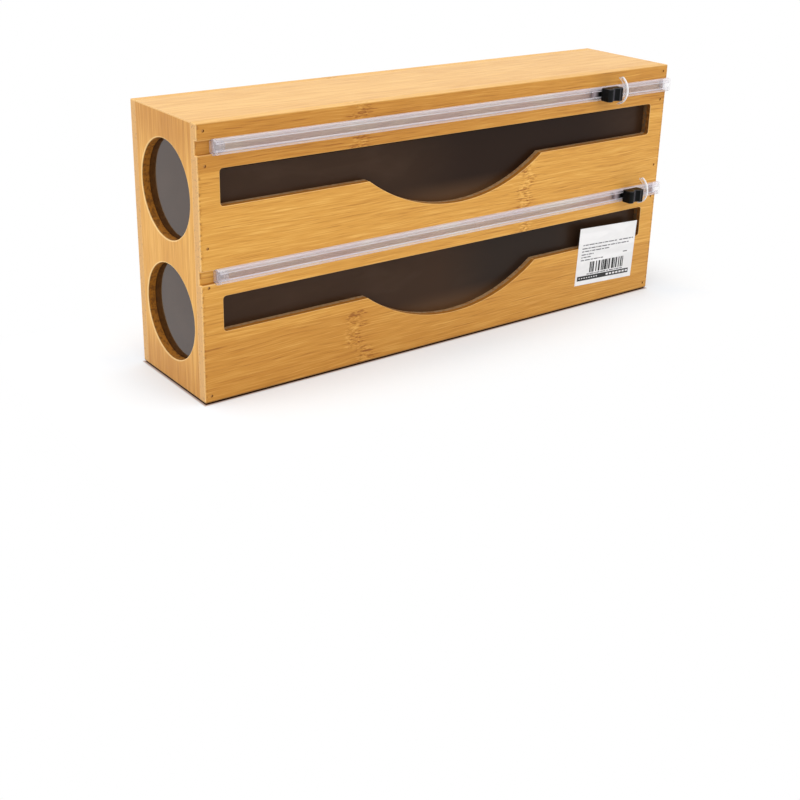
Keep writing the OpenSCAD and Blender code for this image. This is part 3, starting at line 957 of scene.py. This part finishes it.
# The print, in millimetres from the label's middle. Bars: where they start, at what height, and how tall they
# are. Their widths and the gaps after them are in tenths of a millimetre
BARS_FROM, BARS_AT, BAR_TALL = -14.4, -8.0, 7.4
BAR_WIDTHS = [12, 8, 14, 10, 16, 10, 12, 22, 8, 14, 20, 8, 14, 10, 12, 8]
GAP_WIDTHS = [4, 4, 16, 14, 12, 4, 4, 5, 6, 14, 5, 6, 12, 10, 6, 4]
# The dark band along the label's foot: its middle, width and height
BAND = (-0.75, -15.2, 48.7, 3.2)
# Pale blocks on the band: where they start, their step, their number, width and height
BLOCK_ROWS = [(-23.0, 2.3, 8, 1.2, 0.6), (3.2, 3.1, 7, 2.1, 1.2)]
# Rows of small print as plain dashes: left end, height and right end
PRINT_ROWS = [
    (-22.5, 8.0, 9.5),
    (11.5, 8.0, 25.0),
    (-23.0, 5.6, 21.0),
    (-23.0, 3.6, 3.0),
    (-23.2, 1.4, -12.0),
    (-23.2, -0.5, -14.5),
    (-23.4, -2.5, -2.5),
    (16.5, -0.9, 20.5),
    (-16.5, -12.7, 17.5),
]
# The shortest dash, what longer ones add, the gap between dashes, and their height
DASH, DASH_MORE, DASH_GAP, DASH_TALL = 1.2, 0.9, 0.7, 0.7


def label_bars():
    """Upright bars of mixed widths, and the band: place and size of each."""
    spots, u = [], BARS_FROM * MM
    for bar, gap in zip(BAR_WIDTHS, GAP_WIDTHS):
        spots.append((u + bar * MM / 20, BARS_AT * MM, bar * MM / 10, BAR_TALL * MM))
        u += (bar + gap) * MM / 10
    return spots + [tuple(size * MM for size in BAND)]


def label_blocks():
    """Pale blocks on the band, small ones at the left and larger ones at the right."""
    return [
        ((start + i * step) * MM, BAND[1] * MM, wide * MM, tall * MM)
        for start, step, count, wide, tall in BLOCK_ROWS
        for i in range(count)
    ]


def label_rules():
    """Small print as dashes of mixed lengths, which stand for no words."""
    spots = []
    for row, (start, v, end) in enumerate(PRINT_ROWS):
        step = row
        while start < end:
            length = min(DASH + DASH_MORE * (step * 7 % 5), end - start)
            spots.append(((start + length / 2) * MM, v * MM, length * MM, DASH_TALL * MM))
            start += length + DASH_GAP
            step += 1
    return spots


class DISPENSER_OT_label(bpy.types.Operator):
    """Lay the paper label on the front panel and print it with plain rules and bars"""

    bl_idname = "dispenser.label"
    bl_label = "Label"

    def execute(self, context):
        look = context.scene.dispenser_label
        paper = handled("label_paper", look.paper, 0.42, 0.1, 0.5, 0.15)
        ink = handled("label_ink", look.ink, 0.4, 0.08, 0.3, 0.1)
        grey = handled("label_grey", look.grey, 0.45, 0.08, 0.3, 0.1)
        middle = middle_of("paper_label")
        level = Matrix.Translation((middle.x, FRONT_LOW.y, middle.z))
        turn = level @ Matrix.Rotation(LABEL_TILT, 4, "Y")
        # A place on the label, so far out of the panel, and further where the paper curls
        bend = lambda v: look.curl * max(0.0, v / LABEL_SIZE[1]) ** 2
        on_label = lambda u, out, v: turn @ Vector((u, -out - bend(v), v))

        mesh = self.sheet(on_label)
        mesh.materials.append(paper)
        show("paper_label_piece", mesh, "case", ["paper_label"])

        tree, names, given, leave = new_geometry("Printed marks", {"Material": ["Material"]})
        tile = add(tree, "GeometryNodeMeshCube", {"Size": (1, 1, 1)})
        size = add(tree, "GeometryNodeInputNamedAttribute", {"Name": "mark_size"}, data_type="FLOAT_VECTOR")
        values = {
            "Points": given["Geometry"],
            "Instance": tile.outputs["Mesh"],
            "Rotation": (0, LABEL_TILT, 0),
            "Scale": size.outputs["Attribute"],
        }
        finish_instances(tree, leave, given["Material"], values)
        for name, spots, material, layer in (
            ("label_bars", label_bars(), ink, 1),
            ("label_rules", label_rules(), grey, 1),
            ("label_blocks", label_blocks(), paper, 2),
        ):
            out = PAPER_THICK + INK_FILM * (layer - 0.5)
            places = [on_label(u, out, v) for u, v, _, _ in spots]
            sizes = [(wide, INK_FILM, tall) for _, _, wide, tall in spots]
            mesh = grow(name, places, tree, names, {"Material": material}, ("mark_size", sizes))
            show(name + "_piece", mesh, "case")
        return {"FINISHED"}

    def sheet(self, on_label):
        """A closed sheet of paper in a grid of cells."""
        bm = bmesh.new()
        (width, height), (columns, rows) = LABEL_SIZE, LABEL_CELLS
        bmesh.ops.create_grid(bm, x_segments=columns, y_segments=rows, size=0.5)
        back = set(bm.verts)
        bmesh.ops.extrude_face_region(bm, geom=bm.faces[:])
        for vert in bm.verts:
            out = PAPER_GAP if vert in back else PAPER_GAP + PAPER_THICK
            vert.co = on_label(vert.co.x * width, out, vert.co.y * height)
        bmesh.ops.recalc_face_normals(bm, faces=bm.faces)
        mesh = bpy.data.meshes.new("paper_label_mesh")
        bm.to_mesh(mesh)
        bm.free()
        return mesh


FLOOR_REACH = 4.0
# Bands on the floor, by the distance from the case: the painted shadow under it, its painted penumbra, its
# near tint, a painted cool cast against the warm light bounced from the case, and from where its shadow is
# kept to where it is white
UNDER_BAND, PENUMBRA_BAND = (-1 * MM, 0.3 * MM), (0.2 * MM, 1.4 * MM)
NEAR_BAND, FADE_BAND, FADE_FROM = (0, 0.05), (0.5 * MM, 0.08), 0.1
# Softboxes: name, setting of their power, size and place, and where they all point
SOFTBOXES = [
    ("overhead_softbox", "overhead", 1.6, (-0.15, -0.25, 1.5)),
    ("left_softbox", "side", 1.2, (-1.5, 0.4, 0.8)),
    ("front_softbox", "fill", 1.4, (0.2, -1.6, 0.8)),
]
LIT_SPOT = (0, 0, 0.08)


class DISPENSER_OT_stage(bpy.types.Operator):
    """Set up the floor, the light and the camera"""

    bl_idname = "dispenser.stage"
    bl_label = "Stage"

    def execute(self, context):
        look = context.scene.dispenser_stage
        context.scene.view_settings.view_transform = "Standard"
        self.floor(look)
        self.world(context.scene, look)
        for name, power, size, place in SOFTBOXES:
            self.lamp(name, getattr(look, power), size, place)
        self.camera(context.scene, look)
        return {"FINISHED"}

    def floor(self, look):
        """A wide pale floor with a painted shadow under and beside the case and a painted cool tint near it,
        fading to white away from it.
        """
        mesh = bpy.data.meshes.new("floor_mesh")
        corners = [(-1, -1), (1, -1), (1, 1), (-1, 1)]
        spots = [(x * FLOOR_REACH, y * FLOOR_REACH, -look.gap) for x, y in corners]
        mesh.from_pydata(spots, [], [(0, 1, 2, 3)])
        floor = place_object("floor", mesh)
        material, tree, _ = new_material("pale_floor")
        tree.nodes.clear()
        spot = split_vector(tree, add(tree, "ShaderNodeTexCoord").outputs["Object"])
        along = less(tree, absolute(tree, spot[0]), FRONT_HIGH.x)
        across = less(tree, absolute(tree, spot[1]), BACK_HIGH.y)
        away = most(tree, along, across)
        under = ramp(tree, away, *UNDER_BAND, 1, 0)
        fade = ramp(tree, away, *FADE_BAND, FADE_FROM, 1)
        fade = times(tree, fade, less(tree, 1, under))
        # Painted cool tint near the case, painted penumbra beside it and painted shadow under it
        tint = mix(tree, ramp(tree, away, *NEAR_BAND), list(look.near_floor), list(look.floor))
        tint = mix(tree, ramp(tree, away, *PENUMBRA_BAND, 1, 0), tint, list(look.penumbra))
        tint = mix(tree, under, tint, list(look.contact_shadow))
        matte = add(tree, "ShaderNodeBsdfDiffuse", {"Color": tint}).outputs[0]
        glow = add(tree, "ShaderNodeEmission", {"Color": (1, 1, 1), "Strength": 1.0}).outputs[0]
        lit = add(tree, "ShaderNodeMixShader", {0: fade, 1: matte, 2: glow}).outputs[0]
        both = add(tree, "ShaderNodeMixShader", {0: self.seen_rays(tree), 1: matte, 2: lit})
        out = tree.nodes.new("ShaderNodeOutputMaterial")
        tree.links.new(both.outputs[0], out.inputs["Surface"])
        mesh.materials.append(material)

    def seen_rays(self, tree):
        """1 for what the camera sees straight, in gloss or through clear plastic."""
        path = tree.nodes.new("ShaderNodeLightPath").outputs
        first = most(tree, path["Is Camera Ray"], path["Is Glossy Ray"])
        return most(tree, first, path["Is Transmission Ray"])

    def world(self, scene, look):
        """White to the eye, and soft light from all round."""
        world = bpy.data.worlds.new("studio")
        world.use_nodes = True
        scene.world = world
        tree = world.node_tree
        tree.nodes.clear()
        strength = ramp(tree, self.seen_rays(tree), 0, 1, look.ambient, 1.0)
        sky = add(tree, "ShaderNodeBackground", {"Color": (1, 1, 1), "Strength": strength})
        out = tree.nodes.new("ShaderNodeOutputWorld")
        tree.links.new(sky.outputs[0], out.inputs["Surface"])

    def lamp(self, name, watts, size, place):
        """A square softbox that points at the case."""
        data = bpy.data.lights.new(name, "AREA")
        data.energy = watts
        data.size = size
        lamp = place_object(name, data)
        lamp.location = place
        lamp.rotation_euler = (Vector(LIT_SPOT) - Vector(place)).to_track_quat("-Z", "Y").to_euler()

    def camera(self, scene, look):
        """The camera, turned to its target and rolled."""
        data = bpy.data.cameras.new("camera")
        data.lens = look.lens
        data.sensor_width = 36
        data.shift_y = look.rise
        data.clip_start = 0.02
        place = Vector(look.place)
        ahead = (Vector(look.target) - place).normalized()
        level = ahead.cross(Vector((0, 0, 1))).normalized()
        above = level.cross(ahead)
        right = math.cos(look.roll) * level + math.sin(look.roll) * above
        turn = Matrix((right, right.cross(ahead), -ahead)).transposed().to_4x4()
        camera = place_object("camera", data)
        camera.matrix_world = Matrix.Translation(place) @ turn
        scene.camera = camera


class DISPENSER_PT_panel(bpy.types.Panel):
    """Buttons and settings of the dispenser"""

    bl_idname = "DISPENSER_PT_panel"
    bl_label = "Wrap Dispenser"
    bl_space_type = "VIEW_3D"
    bl_region_type = "UI"
    bl_category = "Dispenser"

    def draw(self, context):
        for step in STEPS:
            self.layout.operator(step.bl_idname)
        for label, group in GROUPS.items():
            box, settings = self.layout.box(), getattr(context.scene, label)
            for key in group.__annotations__:
                box.prop(settings, key)


GROUPS = {
    "dispenser_bamboo": DispenserBamboo,
    "dispenser_plastic": DispenserPlastic,
    "dispenser_label": DispenserLabel,
    "dispenser_stage": DispenserStage,
}
STEPS = (
    DISPENSER_OT_boards,
    DISPENSER_OT_panes,
    DISPENSER_OT_rails,
    DISPENSER_OT_sliders,
    DISPENSER_OT_brads,
    DISPENSER_OT_label,
    DISPENSER_OT_stage,
)
CLASSES = (*GROUPS.values(), *STEPS, DISPENSER_PT_panel)


def register():
    for kind in CLASSES:
        bpy.utils.register_class(kind)
    for label, group in GROUPS.items():
        setattr(bpy.types.Scene, label, PointerProperty(type=group))


def unregister():
    for label in GROUPS:
        delattr(bpy.types.Scene, label)
    for kind in reversed(CLASSES):
        bpy.utils.unregister_class(kind)


def main():
    register()
    bpy.ops.dispenser.boards()
    bpy.ops.dispenser.panes()
    bpy.ops.dispenser.rails()
    bpy.ops.dispenser.sliders()
    bpy.ops.dispenser.brads()
    bpy.ops.dispenser.label()
    bpy.ops.dispenser.stage()


if __name__ == "__main__":
    main()
